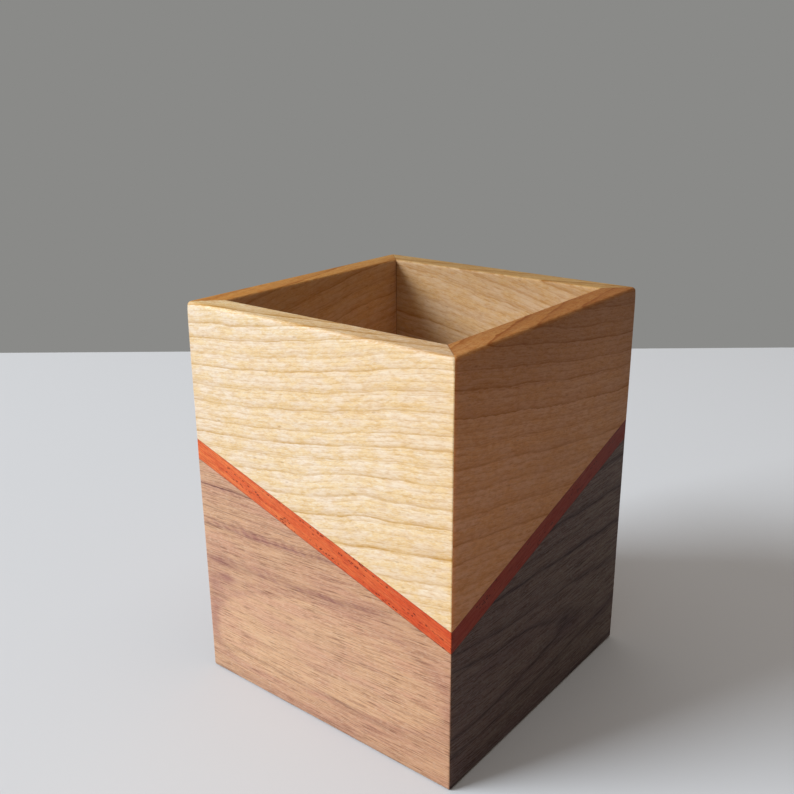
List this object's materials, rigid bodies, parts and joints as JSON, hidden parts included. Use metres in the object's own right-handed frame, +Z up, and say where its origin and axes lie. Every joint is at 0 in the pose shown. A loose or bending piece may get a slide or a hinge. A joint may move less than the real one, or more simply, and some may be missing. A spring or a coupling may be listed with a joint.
{
  "type": "pencil cup",
  "caption": "Square wooden pencil cup, open at the top, with mitred walls laminated of light cherry above and dark walnut below, and a slanting red padauk strip between.",
  "frame": {"origin": "on the table under the middle of the cup, level with the walls' undersides", "axes": "+Z up along the cup's axis to its open top; -Y faces out of the front wall and +X out of the right wall, whose shared corner is one of the two where the padauk strips are low"},
  "size_m": [0.084, 0.084, 0.108],
  "materials": {
    "cherry": "oiled satin",
    "padauk": "oiled satin",
    "walnut": "oiled satin",
    "base_panel": "oiled satin"
  },
  "bodies": {
    "root": {"cherry_board_front": "cherry", "cherry_board_right": "cherry", "cherry_board_back": "cherry", "cherry_board_left": "cherry", "padauk_strip_front": "padauk", "padauk_strip_right": "padauk", "padauk_strip_back": "padauk", "padauk_strip_left": "padauk", "walnut_board_front": "walnut", "walnut_board_right": "walnut", "walnut_board_back": "walnut", "walnut_board_left": "walnut", "base_panel": "base_panel"}
  },
  "joints": []
}
